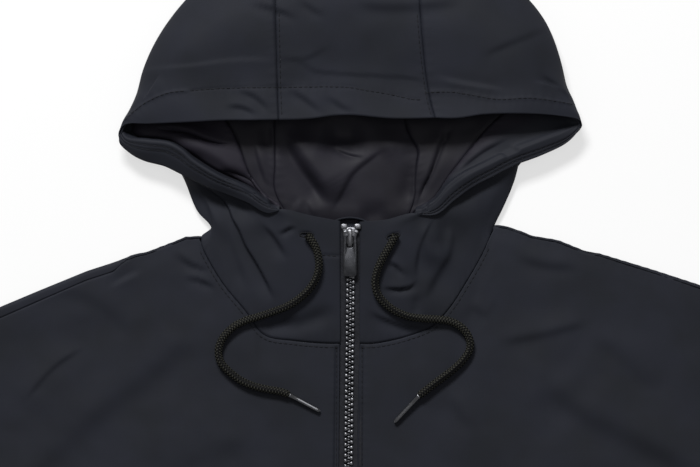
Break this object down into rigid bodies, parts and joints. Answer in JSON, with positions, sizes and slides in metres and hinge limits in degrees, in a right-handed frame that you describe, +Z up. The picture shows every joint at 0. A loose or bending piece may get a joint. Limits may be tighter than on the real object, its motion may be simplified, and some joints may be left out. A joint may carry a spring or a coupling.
{
  "type": "hooded windbreaker jacket",
  "caption": "Dark hooded full-zip windbreaker jacket lying face up, its hood open over a lined inside, with long sleeves, a metal zip and a drawcord with free ends.",
  "frame": {"origin": "on the surface the jacket lies on, under the middle of its width and height", "axes": "+Y from the hem towards the hood, +Z up out of the front, +X to the right as the front is looked at"},
  "size_m": [1.186, 0.8878, 0.0327],
  "materials": {
    "shell_cloth": "near-black smooth woven nylon, faint sheen",
    "lining_cloth": "near-black thin lining, soft shine",
    "zip_tape": "black woven tape, matt",
    "zip_metal": "dark gunmetal plating, half gloss",
    "cord_braid": "dark round braid, matt",
    "cord_tip": "black glossy sleeve"
  },
  "bodies": {
    "garment": {"back": "shell_cloth", "brim_facing": "shell_cloth", "cord_left": "cord_braid", "cord_right": "cord_braid", "cord_tip_left": "cord_tip", "cord_tip_right": "cord_tip", "front_left": "shell_cloth", "front_right": "shell_cloth", "hood_centre": "shell_cloth", "hood_facing_left": "shell_cloth", "hood_facing_right": "shell_cloth", "hood_lining_centre": "lining_cloth", "hood_lining_left": "lining_cloth", "hood_lining_right": "lining_cloth", "hood_side_left": "shell_cloth", "hood_side_right": "shell_cloth", "sleeve_left": "shell_cloth", "sleeve_right": "shell_cloth", "zip_box": "zip_metal", "zip_guard": "shell_cloth", "zip_slider": "zip_metal", "zip_tape_left": "zip_tape", "zip_tape_right": "zip_tape", "zip_teeth": "zip_metal"},
    "pull_tab": {"zip_pull": "zip_metal"}
  },
  "joints": [
    {"name": "pull_tab_hinge", "type": "hinge", "parent": "garment", "child": "pull_tab", "pos_m": [0, 0.257, 0.01592], "axis": [-1, 0, 0], "range_deg": [0, 150]}
  ]
}
